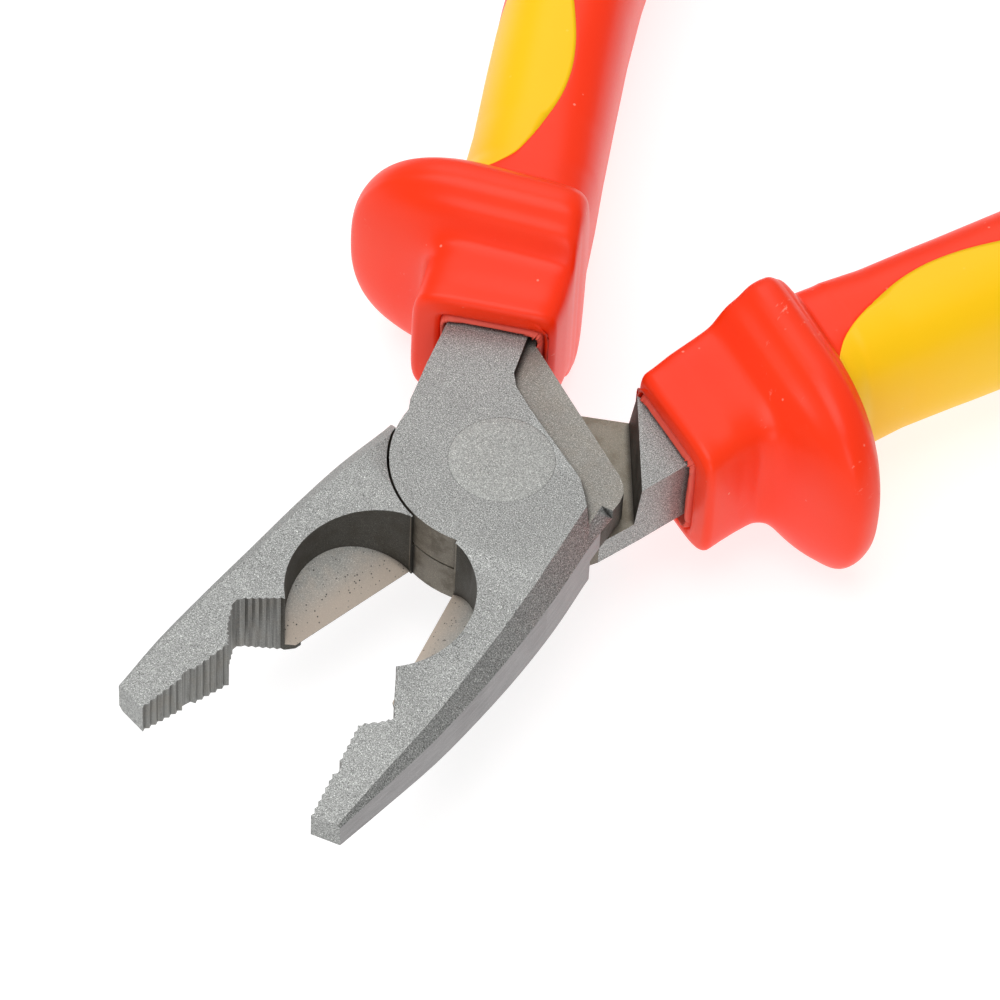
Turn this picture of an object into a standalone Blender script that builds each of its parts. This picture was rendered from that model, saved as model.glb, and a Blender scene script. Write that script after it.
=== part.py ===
"""Insulated combination pliers, eight-inch size, in metres with +Z up.

The pivot axis is Z, through the origin, and the underside of the head lies on z = 0.
The jaws point along -Y and the handles along +Y. The two halves cross in a lap joint:
the upper half carries the right jaw and the left handle, the lower half the other two.
Every outline below is for the upper half with the pliers closed, x to the right; its
handle lies at -X. The lower half is the same forging turned over.
"""

import math
from dataclasses import dataclass

import bmesh
import bpy
from mathutils import Matrix

MM = 0.001

# Driving dimensions, in millimetres and degrees.
HALF_HEAD = 5.4          # half the thickness of the head
OPENING = 25.8           # angle between the two halves at rest
GAP = 0.3                # clearance between pieces that touch
TIP_Y = -52.2            # front end of the jaws
LAP_RADIUS = 12.85       # lap plate's round edge about the pivot
WALL_RADIUS = 13.15      # the other half's wall round that edge
JAW_FACE = 0.15          # half the space between the closed jaws
POCKET_CENTRE = (-4.45, -22.4)
POCKET_RADIUS = 10.3
PANEL_DEPTH = 1.1        # the sunk marking panel, left blank
RIVET_HEAD = 6.0
RIVET_SHAFT = 3.3
RIVET_HEAD_DEPTH = 2.0
LINER_WALL = 0.5
INLAY_DEPTH = 1.6

# Each jaw's outer edge, tip to shoulder: x, y and half the height of its upright side.
UPPER_EDGE = (
    (3.7, -52.2, 1.6), (6.0, -45.2, 1.95), (8.5, -37.2, 2.35), (10.4, -29.2, 2.65),
    (11.9, -21.2, 2.95), (12.9, -13.6, 3.15), (13.4, -6.6, 3.2),
)
LOWER_EDGE = (
    (4.4, -52.2, 1.75), (6.3, -45.2, 2.35), (7.9, -37.2, 2.9), (9.45, -29.2, 3.15),
    (11.0, -21.2, 3.45), (12.3, -13.6, 3.45), (13.0, -6.6, 3.3),
)
# The plate beyond the shoulder: its round corner, the edge beside the panel, the shank.
UPPER_PLATE = (
    (13.75, -3.2), (14.1, -0.8), (14.35, 0.9), (14.25, 2.2), (13.75, 3.3), (12.9, 4.3), (-3.6, 18.1),
)
LOWER_PLATE = ((13.75, -3.0), (14.5, 0.8), (14.6, 3.2), (13.5, 5.1), (-1.9, 18.05), (-3.55, 18.45))
SHANK_OUTSIDE = ((-14.0, 17.0), (-13.6, 9.6), (-13.3, 5.9), (-13.1, 3.7))
# The panel's inner edge, from the shank to the shoulder.
PANEL_EDGE = (
    (-4.8, 19.5), (-3.9, 12.4), (-2.8, 10.6), (-0.1, 8.3),
    (9.2, 1.3), (11.0, -1.3), (12.2, -3.3), (14.2, -6.0),
)
# Half the thickness along the length: the jaws' top faces, head and tang, then the undersides.
TOP_PROFILE = (
    (-54.0, 1.75), (-48.0, 2.5), (-44.0, 3.0), (-39.4, 3.5), (-35.0, 3.92), (-30.0, 4.35),
    (-24.0, 4.8), (-18.0, 5.18), (-12.0, 5.4), (25.0, 5.4), (31.0, 4.5), (60.0, 3.6), (130.0, 3.0),
)
UPPER_UNDERSIDE = ((-54.0, 1.35), (-48.0, 2.15), (-39.4, 3.4), (-30.0, 4.35), *TOP_PROFILE[6:])
LOWER_UNDERSIDE = (
    (-54.0, 2.1), (-48.0, 2.95), (-44.0, 3.5), (-39.4, 4.15), (-35.0, 4.9), (-31.0, 5.3), *TOP_PROFILE[8:],
)
# The tang inside the handle: y, middle of its width and half its width.
TANG = (
    (25.0, 9.4, 4.9), (34.0, 11.6, 4.4), (47.0, 15.4, 4.1), (62.0, 19.5, 3.9),
    (78.0, 23.2, 3.6), (94.0, 25.4, 3.4), (108.0, 25.9, 3.2), (122.0, 25.3, 3.0),
)
SHANK_STEP = ((-3.6, 16.7), (-12.6, 9.4))   # wall where the shank is full thickness
STEP_DRAFT = 0.15        # how far that wall leans back, per unit of height
SHANK_CHAMFER = 1.7      # under the lower shank's outer edge

# The pipe grip of each jaw, from the grip face back to the cutter.
UPPER_NOTCH = ((0.7, -39.3), (2.4, -38.3), (3.4, -37.4), (2.7, -35.9), (0.95, -31.35))
LOWER_NOTCH = ((1.1, -39.1), (2.1, -38.4), (4.2, -35.9), (4.0, -35.0), (0.8, -31.35))
GRIP_BACK = -39.9
WIRE_GROOVE = (-46.6, -44.7, 0.5)            # front, back and depth
TOOTH_PITCH = 0.9
TOOTH_DEPTH = 0.28
NOTCH_PITCH = 0.8

# The handle's sections along its middle line: y, inner side, outer side, half height,
# roundness of the inner and the outer side, and the lean of the section.
HANDLE = (
    (17.3, 2.3, 16.8, 7.7, 5.0, 5.0, -0.20),
    (17.9, 1.9, 17.8, 8.5, 5.0, 5.0, -0.20),
    (19.5, 1.7, 18.2, 8.8, 5.0, 5.0, -0.20),
    (22.0, 1.8, 18.4, 9.3, 5.4, 5.0, -0.18),
    (24.4, 2.1, 18.9, 9.5, 6.0, 4.4, -0.15),
    (25.9, 2.4, 20.8, 10.9, 7.0, 3.6, -0.13),
    (27.2, 2.6, 25.0, 12.8, 8.0, 3.0, -0.12),
    (28.4, 2.9, 29.2, 14.3, 9.0, 2.5, -0.12),
    (30.4, 3.4, 31.9, 15.0, 9.0, 2.4, -0.12),
    (32.8, 3.9, 32.0, 14.7, 9.0, 2.4, -0.12),
    (34.6, 4.4, 29.8, 13.3, 8.0, 2.4, -0.12),
    (35.8, 4.7, 26.4, 11.6, 6.0, 2.5, -0.13),
    (37.2, 5.1, 23.2, 10.3, 4.2, 2.5, -0.15),
    (41.0, 6.2, 22.5, 9.8, 3.6, 2.5, -0.20),
    (48.0, 8.2, 23.9, 9.8, 3.2, 2.4, -0.25),
    (58.0, 10.8, 26.5, 10.3, 3.0, 2.4, -0.26),
    (68.0, 13.3, 29.0, 10.7, 3.0, 2.4, -0.24),
    (78.0, 15.4, 31.2, 10.9, 3.0, 2.4, -0.20),
    (89.0, 17.1, 33.1, 10.9, 3.0, 2.4, -0.12),
    (101.0, 17.9, 34.0, 10.7, 3.0, 2.4, -0.04),
    (113.0, 17.9, 34.1, 10.4, 3.0, 2.4, 0.03),
    (125.0, 17.1, 33.5, 10.2, 3.0, 2.4, 0.08),
    (136.0, 15.7, 32.6, 10.4, 3.0, 2.4, 0.10),
    (143.0, 15.3, 32.0, 10.3, 2.8, 2.4, 0.10),
    (146.0, 16.8, 30.4, 8.6, 2.4, 2.4, 0.10),
    (147.7, 20.0, 27.0, 4.6, 2.2, 2.2, 0.10),
)
# How each handle differs from those sections, along y: shift back, added lean, shift towards
# the middle, growth of the outer side and of the half height, and lift. The right one bends
# further in than the left.
LEFT_SHIFTS = (
    (0.0, 0.0, 0.0, 0.0, 0.2, 0.0, 0.0), (17.3, 0.0, 0.0, 0.0, 0.2, 0.0, 0.0),
    (22.0, -0.2, 0.0, 0.0, 0.8, 0.0, 0.0), (24.4, -0.4, 0.0, 0.0, 1.0, 0.0, 0.0),
    (27.0, -0.8, 0.0, 0.0, 0.5, 0.0, 0.0), (30.0, -0.8, 0.0, 0.0, -0.4, 0.0, 0.0),
    (33.0, -0.8, 0.0, 0.0, -0.5, 0.0, 0.0), (36.0, -0.8, 0.0, 0.0, -0.3, 0.0, 0.0),
    (42.0, 0.0, 0.0, 0.0, 0.0, 0.0, 0.0), (160.0, 0.0, 0.0, 0.0, 0.0, 0.0, 0.0),
)
RIGHT_SHIFTS = (
    (0.0, 0.0, 0.0, 0.0, 0.0, 0.0, 0.0), (19.0, 0.0, 0.0, 0.0, 0.0, 0.0, 0.0),
    (22.0, 0.4, 0.0, 0.25, 0.0, -0.1, 0.1), (25.5, 1.7, -0.11, 0.75, 0.4, -0.4, 0.4),
    (27.2, 1.75, -0.12, 1.0, 0.3, -0.7, 0.7), (29.0, 1.8, -0.12, 1.3, 0.3, -0.9, 0.9),
    (34.0, 1.9, -0.12, 2.0, 0.1, -0.9, 0.9), (36.0, 1.9, -0.12, 2.2, 0.0, -0.5, 0.5),
    (42.0, 0.8, -0.06, 3.1, 0.0, 0.0, 0.0), (48.0, 0.0, 0.0, 3.6, 0.0, 0.0, 0.0),
    (55.0, 0.0, 0.0, 4.0, 0.0, 0.0, 0.0), (72.0, 0.0, 0.0, 4.6, 0.0, 0.0, 0.0),
    (100.0, 0.0, 0.0, 3.2, 0.0, 0.0, 0.0), (130.0, 0.0, 0.0, 1.4, 0.0, 0.0, 0.0),
    (160.0, 0.0, 0.0, 1.2, 0.0, 0.0, 0.0),
)
MOUTH = (17.6, 9.0, -0.20)                   # the liner's front edge: y, x and lean
RING_POINTS = 24
# The front inlay: its edge on the top and bottom faces (y, x), and on the outer side (y, height).
FRONT_EDGE = (
    (37.0, 17.9), (39.5, 16.1), (43.0, 15.1), (47.0, 14.6), (51.0, 14.4), (55.0, 14.9),
    (59.0, 16.1), (63.0, 17.9), (68.0, 20.6), (74.0, 23.9), (81.0, 27.6),
)
FRONT_WEDGE = ((58.5, 0.0), (62.0, 3.2), (66.0, 6.0), (71.0, 8.2), (77.0, 9.6), (83.0, 10.6))
REAR_LEAF = (
    (66.5, 0.0), (70.0, 3.4), (75.0, 5.9), (82.0, 7.6), (92.0, 8.6), (106.0, 8.6),
    (118.0, 7.8), (128.0, 6.0), (134.0, 3.6), (137.0, 0.0),
)
REAR_INSIDE = 24.5       # the rear inlay lies outside this x


@dataclass(frozen=True)
class Half:
    """What differs between the two forgings."""

    turned: bool
    edge: tuple
    plate: tuple
    underside: tuple
    notch: tuple
    cutter_z: float     # height of the cutting edge, from the head's middle
    slope: float        # rise of the cutter's bevel per unit of depth


UPPER = Half(False, UPPER_EDGE, UPPER_PLATE, UPPER_UNDERSIDE, UPPER_NOTCH, -4.1, 0.68)
LOWER = Half(True, LOWER_EDGE, LOWER_PLATE, LOWER_UNDERSIDE, LOWER_NOTCH, -4.7, 0.78)


def material(name, colour, roughness, metallic):
    """A Principled material."""
    made = bpy.data.materials.new(name)
    made.use_nodes = True
    shader = made.node_tree.nodes["Principled BSDF"]
    shader.inputs["Base Color"].default_value = (*colour, 1.0)
    shader.inputs["Roughness"].default_value = roughness
    shader.inputs["Metallic"].default_value = metallic
    return made


def between(table, y):
    """A value read from a table of (y, value), straight between its rows."""
    for (y0, value0), (y1, value1) in zip(table, table[1:]):
        if y0 <= y <= y1:
            return value0 + (value1 - value0) * (y - y0) / (y1 - y0)
    return table[-1][1]


def smooth(points, steps=3):
    """A smooth line through the points, with some more between each two."""
    padded = [points[0], *points, points[-1]]
    line = []
    for i in range(1, len(padded) - 2):
        a, b, c, d = padded[i - 1:i + 3]
        for step in range(steps):
            t = step / steps
            line.append(tuple(
                0.5 * (2 * q + (r - p) * t + (2 * p - 5 * q + 4 * r - s) * t ** 2 + (3 * q - p - 3 * r + s) * t ** 3)
                for p, q, r, s in zip(a, b, c, d)
            ))
    return line + [points[-1]]


def loft(name, rings, collection):
    """A closed solid through rings of equal length, with its two ends filled."""
    mesh = bmesh.new()
    rows = [[mesh.verts.new([value * MM for value in point]) for point in ring] for ring in rings]
    count = len(rows[0])
    for row, following in zip(rows, rows[1:]):
        for i in range(count):
            j = (i + 1) % count
            mesh.faces.new((row[i], row[j], following[j], following[i]))
    mesh.faces.new(rows[0])
    mesh.faces.new(rows[-1])
    bmesh.ops.recalc_face_normals(mesh, faces=mesh.faces)
    bmesh.ops.triangulate(mesh, faces=mesh.faces)
    data = bpy.data.meshes.new(name)
    mesh.to_mesh(data)
    mesh.free()
    made = bpy.data.objects.new(name, data)
    collection.objects.link(made)
    return made


def prism(name, outline, low, high, collection, axis="Z"):
    """A flat outline extruded from low to high along an axis."""
    curve = bpy.data.curves.new(name, "CURVE")
    curve.dimensions = "2D"
    curve.fill_mode = "BOTH"
    curve.extrude = (high - low) / 2 * MM
    spline = curve.splines.new("POLY")
    spline.points.add(len(outline) - 1)
    for point, (x, y) in zip(spline.points, outline):
        point.co = (x * MM, y * MM, 0, 1)
    spline.use_cyclic_u = True
    drawn = bpy.data.objects.new(name + "_outline", curve)
    collection.objects.link(drawn)
    bpy.context.view_layer.update()
    evaluated = drawn.evaluated_get(bpy.context.evaluated_depsgraph_get())
    data = bpy.data.meshes.new_from_object(evaluated)
    bpy.data.objects.remove(drawn)
    shift = Matrix.Translation((0, 0, (low + high) / 2 * MM))
    # "X" reads the outline as (y, z) and extrudes it along X.
    turn = Matrix(((0, 0, 1, 0), (1, 0, 0, 0), (0, 1, 0, 0), (0, 0, 0, 1)))
    data.transform(turn @ shift if axis == "X" else shift)
    mesh = bmesh.new()
    mesh.from_mesh(data)
    bmesh.ops.remove_doubles(mesh, verts=mesh.verts, dist=1e-6)
    bmesh.ops.recalc_face_normals(mesh, faces=mesh.faces)
    mesh.to_mesh(data)
    mesh.free()
    made = bpy.data.objects.new(name, data)
    collection.objects.link(made)
    return made


def disc(name, radius, low, high, collection, segments=48):
    """A round solid about the pivot axis."""
    outline = arc_points((0, 0), radius, 0, 360 - 360 / segments, segments)
    return prism(name, outline, low, high, collection)


def boolean(body, operation, other):
    """One Boolean on a body, applied, so that the next one reads its result."""
    modifier = body.modifiers.new(operation.title(), "BOOLEAN")
    modifier.operation = operation
    modifier.object = other
    bpy.context.view_layer.update()
    evaluated = body.evaluated_get(bpy.context.evaluated_depsgraph_get())
    data = bpy.data.meshes.new_from_object(evaluated)
    body.modifiers.clear()
    body.data = data


def arc_points(centre, radius, start, end, count):
    """Points on an arc, from one angle to the other in degrees."""
    angles = [math.radians(start + (end - start) * i / (count - 1)) for i in range(count)]
    return [(centre[0] + radius * math.cos(a), centre[1] + radius * math.sin(a)) for a in angles]


def toothed(start, end, pitch, depth):
    """A row of teeth from start to end: crests on the line, roots cut to its left."""
    length = math.dist(start, end)
    count = max(1, round(length / pitch))
    along = ((end[0] - start[0]) / length, (end[1] - start[1]) / length)
    left = (-along[1], along[0])
    points = []
    for i in range(count):
        crest = length * i / count
        root = length * (i + 0.5) / count
        points.append((start[0] + along[0] * crest, start[1] + along[1] * crest))
        points.append((
            start[0] + along[0] * root + left[0] * depth,
            start[1] + along[1] * root + left[1] * depth,
        ))
    return points


def grip_line(notch):
    """The jaw's working edge from the cutter forward to the tip: pipe grip, teeth, wire groove."""
    back = notch[::-1]
    points = []
    for start, end in zip(back, back[1:]):
        points += toothed(start, end, NOTCH_PITCH, TOOTH_DEPTH * 0.7)
    points += toothed(back[-1], (JAW_FACE, GRIP_BACK), NOTCH_PITCH, TOOTH_DEPTH * 0.7)
    front, rear, depth = WIRE_GROOVE
    points += toothed((JAW_FACE, GRIP_BACK), (JAW_FACE, rear), TOOTH_PITCH, TOOTH_DEPTH)
    points += [(JAW_FACE, rear)]
    points += [(JAW_FACE + depth, rear - 0.35), (JAW_FACE + depth, front + 0.35)]
    points += toothed((JAW_FACE, front), (JAW_FACE, TIP_Y), TOOTH_PITCH, TOOTH_DEPTH)
    return points


def half_outline(shape):
    """The whole half in plan, jaw and tang, anticlockwise from the tip."""
    tang = [(y, middle - bend(y, shape.turned), half_width) for y, middle, half_width in TANG]
    rim = arc_points((0, 0), LAP_RADIUS, 170, 270.6, 22)
    points = [(JAW_FACE, TIP_Y)]
    points += [(x, y) for x, y, _ in smooth(shape.edge)]
    points += list(shape.plate)
    points += [(-(middle - half_width), y) for y, middle, half_width in tang]
    points += [(-(middle + half_width), y) for y, middle, half_width in reversed(tang)]
    points += list(SHANK_OUTSIDE) + rim
    points += [(JAW_FACE, -29.4), (JAW_FACE, -30.2)]
    points += grip_line(shape.notch)
    return points


def shift(y, turned, column):
    """One column of the handle's table of shifts, at y."""
    rows = RIGHT_SHIFTS if turned else LEFT_SHIFTS
    return between([(row[0], row[column]) for row in rows], y)


def bend(y, turned):
    """How far the handle lies towards the middle from the template."""
    return shift(y, turned, 3)


def side_outline(top, bottom):
    """The half seen from the side, for the taper of the jaws and the tang."""
    return [(y, z) for y, z in top] + [(y, -z) for y, z in reversed(bottom)]


def jaw_bevel(name, edge, sign, collection):
    """The cutter of the broad slope between a jaw's face and its upright outer side."""
    rings = []
    edge = smooth(edge, 4)
    last = len(edge) - 1
    for i, (x, y, height) in enumerate(edge):
        before = edge[max(i - 1, 0)]
        after = edge[min(i + 1, last)]
        along = (after[0] - before[0], after[1] - before[1])
        length = math.hypot(*along)
        out = (along[1] / length, -along[0] / length)
        if i == 0:
            y -= 4 * along[1] / length
            x -= 4 * along[0] / length
        if i == last:
            y += 6 * along[1] / length
            x += 6 * along[0] / length
        rings.append([
            (x + out[0] * 4, y + out[1] * 4, sign * (height - 4)),
            (x - out[0] * 5, y - out[1] * 5, sign * (height + 5)),
            (x + out[0] * 4, y + out[1] * 4, sign * (height + 5)),
        ])
    return loft(name, rings, collection)


def lap_space(name, collection):
    """What the upper half leaves free for the lower: the plate's sweep, below the lap plane."""
    (right_x, right_y), (left_x, left_y) = SHANK_STEP
    slope = (left_y - right_y) / (left_x - right_x)
    rings = []
    for z in (GAP / 2, -12.0):
        outline = arc_points((0, 0), WALL_RADIUS, 267, 333, 18) + [(13.0, -5.4), (22.0, -5.4)]
        outline += [(x, right_y + slope * (x - right_x) - z * STEP_DRAFT) for x in (22.0, -22.0)]
        outline += [(-22.0, -14.0), (-1.2, -14.0)]
        rings.append([(x, y, z) for x, y in outline])
    return loft(name, rings, collection)


def cutter_pocket(name, shape, collection):
    """The space over the cutting edge: a round recess above a slope that ends at the edge."""
    outline = arc_points(POCKET_CENTRE, POCKET_RADIUS, -90, 56, 28)
    outline += [(0.3, -13.35), (-4.45, -13.35)]
    recess = prism(name, outline, -12, 12, collection)
    rings = []
    for y in (-40.0, -5.0):
        left, right = JAW_FACE - 20.0, JAW_FACE + 20.0
        low, high = shape.cutter_z - 20.0 * shape.slope, shape.cutter_z + 20.0 * shape.slope
        rings.append([(left, y, low), (right, y, high), (right, y, 30.0), (left, y, 30.0)])
    boolean(recess, "INTERSECT", loft(name + "_slope", rings, collection))
    return recess


def back_bevel(name, shape, collection):
    """The small slope under the cutting edge."""
    z = shape.cutter_z
    return loft(name, [
        [(-4.0, y, z + 4.0), (JAW_FACE + 3.0, y, z - 3.0), (-4.0, y, -12.0)] for y in (-29.4, -13.1)
    ], collection)


def shank_chamfer(name, collection):
    """The bevel along the shank's outer edge, on the template's upper side."""
    rings = []
    size = SHANK_CHAMFER
    for x, y in ((-12.0, -1.0), (-12.9, 3.0), *reversed(SHANK_OUTSIDE), (-14.6, 32.0)):
        rings.append([
            (x - 3.0, y, HALF_HEAD - size - 3.0),
            (x + size + 3.0, y, HALF_HEAD + 3.0),
            (x - 3.0, y, HALF_HEAD + 3.0),
        ])
    return loft(name, rings, collection)


def half(name, shape, finish, parts, cutters):
    """One forging: jaw, lap plate, shank and tang."""
    body = prism(name, half_outline(shape), -8, 8, parts)
    sides = (shape.underside, TOP_PROFILE) if shape.turned else (TOP_PROFILE, shape.underside)
    boolean(body, "INTERSECT", prism(name + "_side", side_outline(*sides), -40, 20, cutters, "X"))
    for sign, label in ((1, "_top_bevel"), (-1, "_low_bevel")):
        boolean(body, "DIFFERENCE", jaw_bevel(name + label, shape.edge, sign, cutters))
    boolean(body, "DIFFERENCE", lap_space(name + "_lap", cutters))
    panel = list(PANEL_EDGE) + [(24.0, -6.0), (24.0, 19.5)]
    panel_floor = HALF_HEAD - PANEL_DEPTH
    boolean(body, "DIFFERENCE", prism(name + "_panel", panel, panel_floor, 12, cutters))
    boolean(body, "DIFFERENCE", disc(name + "_bore", RIVET_SHAFT + GAP, -12, 12, cutters))
    seat_low = HALF_HEAD - RIVET_HEAD_DEPTH
    seat_radius = RIVET_HEAD + GAP * 0.6
    boolean(body, "DIFFERENCE", disc(name + "_seat", seat_radius, seat_low, 12, cutters))
    if shape.turned:
        boolean(body, "DIFFERENCE", shank_chamfer(name + "_chamfer", cutters))
        # Turned over about Y: the jaw goes to -X and the plate below the lap plane.
        body.data.transform(Matrix.Rotation(math.pi, 4, "Y"))
    pocket = cutter_pocket(name + "_pocket", shape, cutters)
    under = back_bevel(name + "_back_bevel", shape, cutters)
    for cutter in (pocket, under):
        if shape.turned:
            cutter.data.transform(Matrix.Scale(-1, 4, (1, 0, 0)))
            cutter.data.flip_normals()
        boolean(body, "DIFFERENCE", cutter)
    body.data.materials.append(finish)
    body.data.set_sharp_from_angle(angle=math.radians(30))
    return body


def section(y, inner, outer, height, inner_round, outer_round, lean, inset=0.0):
    """One ring of the handle: a superellipse whose inner and outer sides differ in roundness."""
    middle = (inner + outer) / 2
    half_width = (outer - inner) / 2 - inset
    height -= inset
    points = []
    for i in range(RING_POINTS):
        angle = 2 * math.pi * (i + 0.5) / RING_POINTS
        power = 2 / (outer_round if math.cos(angle) > 0 else inner_round)
        across = half_width * math.copysign(abs(math.cos(angle)) ** power, math.cos(angle))
        up = height * math.copysign(abs(math.sin(angle)) ** power, math.sin(angle))
        points.append((-(middle + across), y + lean * across, up))
    return points


def handle_body(name, turned, inset, collection):
    """The handle's outer form, or the same form drawn in by an inset."""
    rings = []
    for y, inner, outer, height, *rounds, lean in HANDLE:
        if inset and y > HANDLE[-1][0] - 2:
            continue
        back, tilt, lean_in, growth, thicker, lift = (shift(y, turned, column) for column in range(1, 7))
        outer += growth - lean_in
        ring = section(
            y + back, inner - lean_in, outer, height + thicker, *rounds, lean + tilt, inset=inset
        )
        rings.append([(x, along, up + lift) for x, along, up in ring])
    return loft(name, rings, collection)


def tang_space(name, turned, grow, front, collection):
    """The tang's box form along the handle, grown on all sides, closed at the far end."""
    rows = [(front, 8.85, 5.3, HALF_HEAD), (24.0, 9.2, 5.0, HALF_HEAD)]
    for y, middle, half_width in TANG[1:]:
        rows.append((y, middle, half_width, between(TOP_PROFILE, y)))
    y, middle, half_width, height = rows[-1]
    rows[-1] = (y + grow, middle, half_width, height)
    rings = []
    for y, middle, half_width, height in rows:
        left = -(middle + half_width + grow) + bend(y, turned)
        right = -(middle - half_width - grow) + bend(y, turned)
        up = height + grow
        rings.append([(left, y, -up), (right, y, -up), (right, y, up), (left, y, up)])
    return loft(name, rings, collection)


def front_zone(name, turned, grow, collection):
    """The front inlay's reach: outside its edge on the faces, less the wedge on the outer side."""
    edge = [(-(x - grow) + bend(y, turned), y) for y, x in FRONT_EDGE]
    edge[0] = (edge[0][0], edge[0][1] - grow)
    outline = edge + [(-60.0, edge[-1][1]), (-60.0, edge[0][1])]
    zone = prism(name, outline, -20, 20, collection)
    upper = [(y + grow, max(z - grow, 0.0)) for y, z in FRONT_WEDGE]
    wedge = upper + [(90.0, upper[-1][1]), (90.0, -upper[-1][1])]
    wedge += [(y, -z) for y, z in reversed(upper[1:])]
    boolean(zone, "DIFFERENCE", prism(name + "_wedge", wedge, -70, -5, collection, "X"))
    return zone


def rear_zone(name, turned, grow, collection):
    """The rear inlay's reach: a leaf on the handle's outer side."""
    first, last = REAR_LEAF[0], REAR_LEAF[-1]
    upper = [(first[0] - grow, 0.0)] + [(y, z + grow) for y, z in REAR_LEAF[1:-1]]
    outline = upper + [(last[0] + grow, 0.0)] + [(y, -z) for y, z in reversed(upper[1:])]
    inside = REAR_INSIDE - grow - bend(100.0, turned)
    return prism(name, outline, -70, -inside, collection, "X")


def insulation(side, turned, finishes, parts, cutters):
    """A handle's liner, sleeve and two inlays."""
    red, lining, yellow = finishes
    liner = tang_space(side + "_liner", turned, GAP + LINER_WALL, 14.0, parts)
    boolean(liner, "DIFFERENCE", tang_space(side + "_tang", turned, GAP, 10.0, cutters))
    y, x, lean = MOUTH
    front = [(10.0, 8.0), (10.0, y + lean * (-10.0 - x)), (-30.0, y + lean * (30.0 - x)), (-30.0, 8.0)]
    boolean(liner, "DIFFERENCE", prism(side + "_mouth", front, -20, 20, cutters))
    sleeve = handle_body(side + "_sleeve", turned, 0, parts)
    for zone in (front_zone, rear_zone):
        boolean(sleeve, "DIFFERENCE", zone(side + "_cut_" + zone.__name__, turned, GAP, cutters))
    boolean(sleeve, "UNION", handle_body(side + "_core", turned, INLAY_DEPTH + GAP, cutters))
    boolean(sleeve, "DIFFERENCE", tang_space(side + "_bore", turned, 2 * GAP + LINER_WALL, 8.0, cutters))
    inner = handle_body(side + "_floor", turned, INLAY_DEPTH, cutters)
    inlays = []
    for zone, label in ((front_zone, "_front_inlay"), (rear_zone, "_rear_inlay")):
        inlay = handle_body(side + label, turned, 0, parts)
        boolean(inlay, "INTERSECT", zone(side + label + "_zone", turned, 0, cutters))
        boolean(inlay, "DIFFERENCE", inner)
        inlays.append(inlay)
    for piece, finish in ((liner, lining), (sleeve, red), (inlays[0], yellow), (inlays[1], yellow)):
        if turned:
            piece.data.transform(Matrix.Rotation(math.pi, 4, "Y"))
        piece.data.materials.clear()
        piece.data.materials.append(finish)
        piece.data.set_sharp_from_angle(angle=math.radians(40))
    return [liner, sleeve, *inlays]


def rivet(name, finish, parts, cutters):
    """The pivot rivet: a shaft with a flush head on each face."""
    body = disc(name, RIVET_SHAFT, -HALF_HEAD + 1, HALF_HEAD - 1, parts)
    head_low = HALF_HEAD - RIVET_HEAD_DEPTH + GAP
    boolean(body, "UNION", disc(name + "_top", RIVET_HEAD, head_low, HALF_HEAD, cutters, 64))
    boolean(body, "UNION", disc(name + "_low", RIVET_HEAD, -HALF_HEAD, -head_low, cutters, 64))
    body.data.materials.append(finish)
    body.data.set_sharp_from_angle(angle=math.radians(30))
    return body


def main():
    for old in list(bpy.data.objects):
        bpy.data.objects.remove(old, do_unlink=True)
    parts = bpy.data.collections.new("combination_pliers")
    cutters = bpy.data.collections.new("cutters")
    for collection in (parts, cutters):
        bpy.context.scene.collection.children.link(collection)
    cutters.hide_render = True

    steel = material("blasted_steel", (0.38, 0.38, 0.36), 0.5, 0.85)
    rivet_steel = material("rivet_steel", (0.40, 0.40, 0.38), 0.45, 0.85)
    red = material("red_insulation", (0.95, 0.07, 0.02), 0.4, 0.0)
    lining = material("inner_lining", (0.85, 0.25, 0.18), 0.5, 0.0)
    yellow = material("yellow_inlay", (1.0, 0.62, 0.02), 0.4, 0.0)

    bodies = {}
    for name, turn in (("upper_pivot", 1), ("lower_pivot", -1)):
        pivot = bpy.data.objects.new(name, None)
        pivot.location = (0, 0, HALF_HEAD * MM)
        pivot.rotation_euler = (0, 0, math.radians(turn * OPENING / 2))
        parts.objects.link(pivot)
        bodies[name] = pivot

    finishes = (red, lining, yellow)
    upper = [half("upper_half", UPPER, steel, parts, cutters)]
    upper += insulation("left", False, finishes, parts, cutters)
    upper += [rivet("pivot_rivet", rivet_steel, parts, cutters)]
    lower = [half("lower_half", LOWER, steel, parts, cutters)]
    lower += insulation("right", True, finishes, parts, cutters)
    for pieces, pivot in ((upper, "upper_pivot"), (lower, "lower_pivot")):
        for piece in pieces:
            piece.parent = bodies[pivot]
    for cutter in cutters.objects:
        cutter.hide_render = True
        cutter.display_type = "WIRE"


main()
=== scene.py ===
"""Insulated combination pliers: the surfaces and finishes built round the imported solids.

Sizes are in millimetres in each half's own layout, closed: pivot at the origin, jaws
along -Y, this half's jaw at +X and its handle at -X. Side.place() puts that layout into
the world in metres.
"""

from __future__ import annotations

import logging
import math
from dataclasses import dataclass, field
from enum import Enum, IntEnum
from typing import Any, Callable

import bmesh
import bpy
import numpy as np
from mathutils import Matrix, Vector

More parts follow.
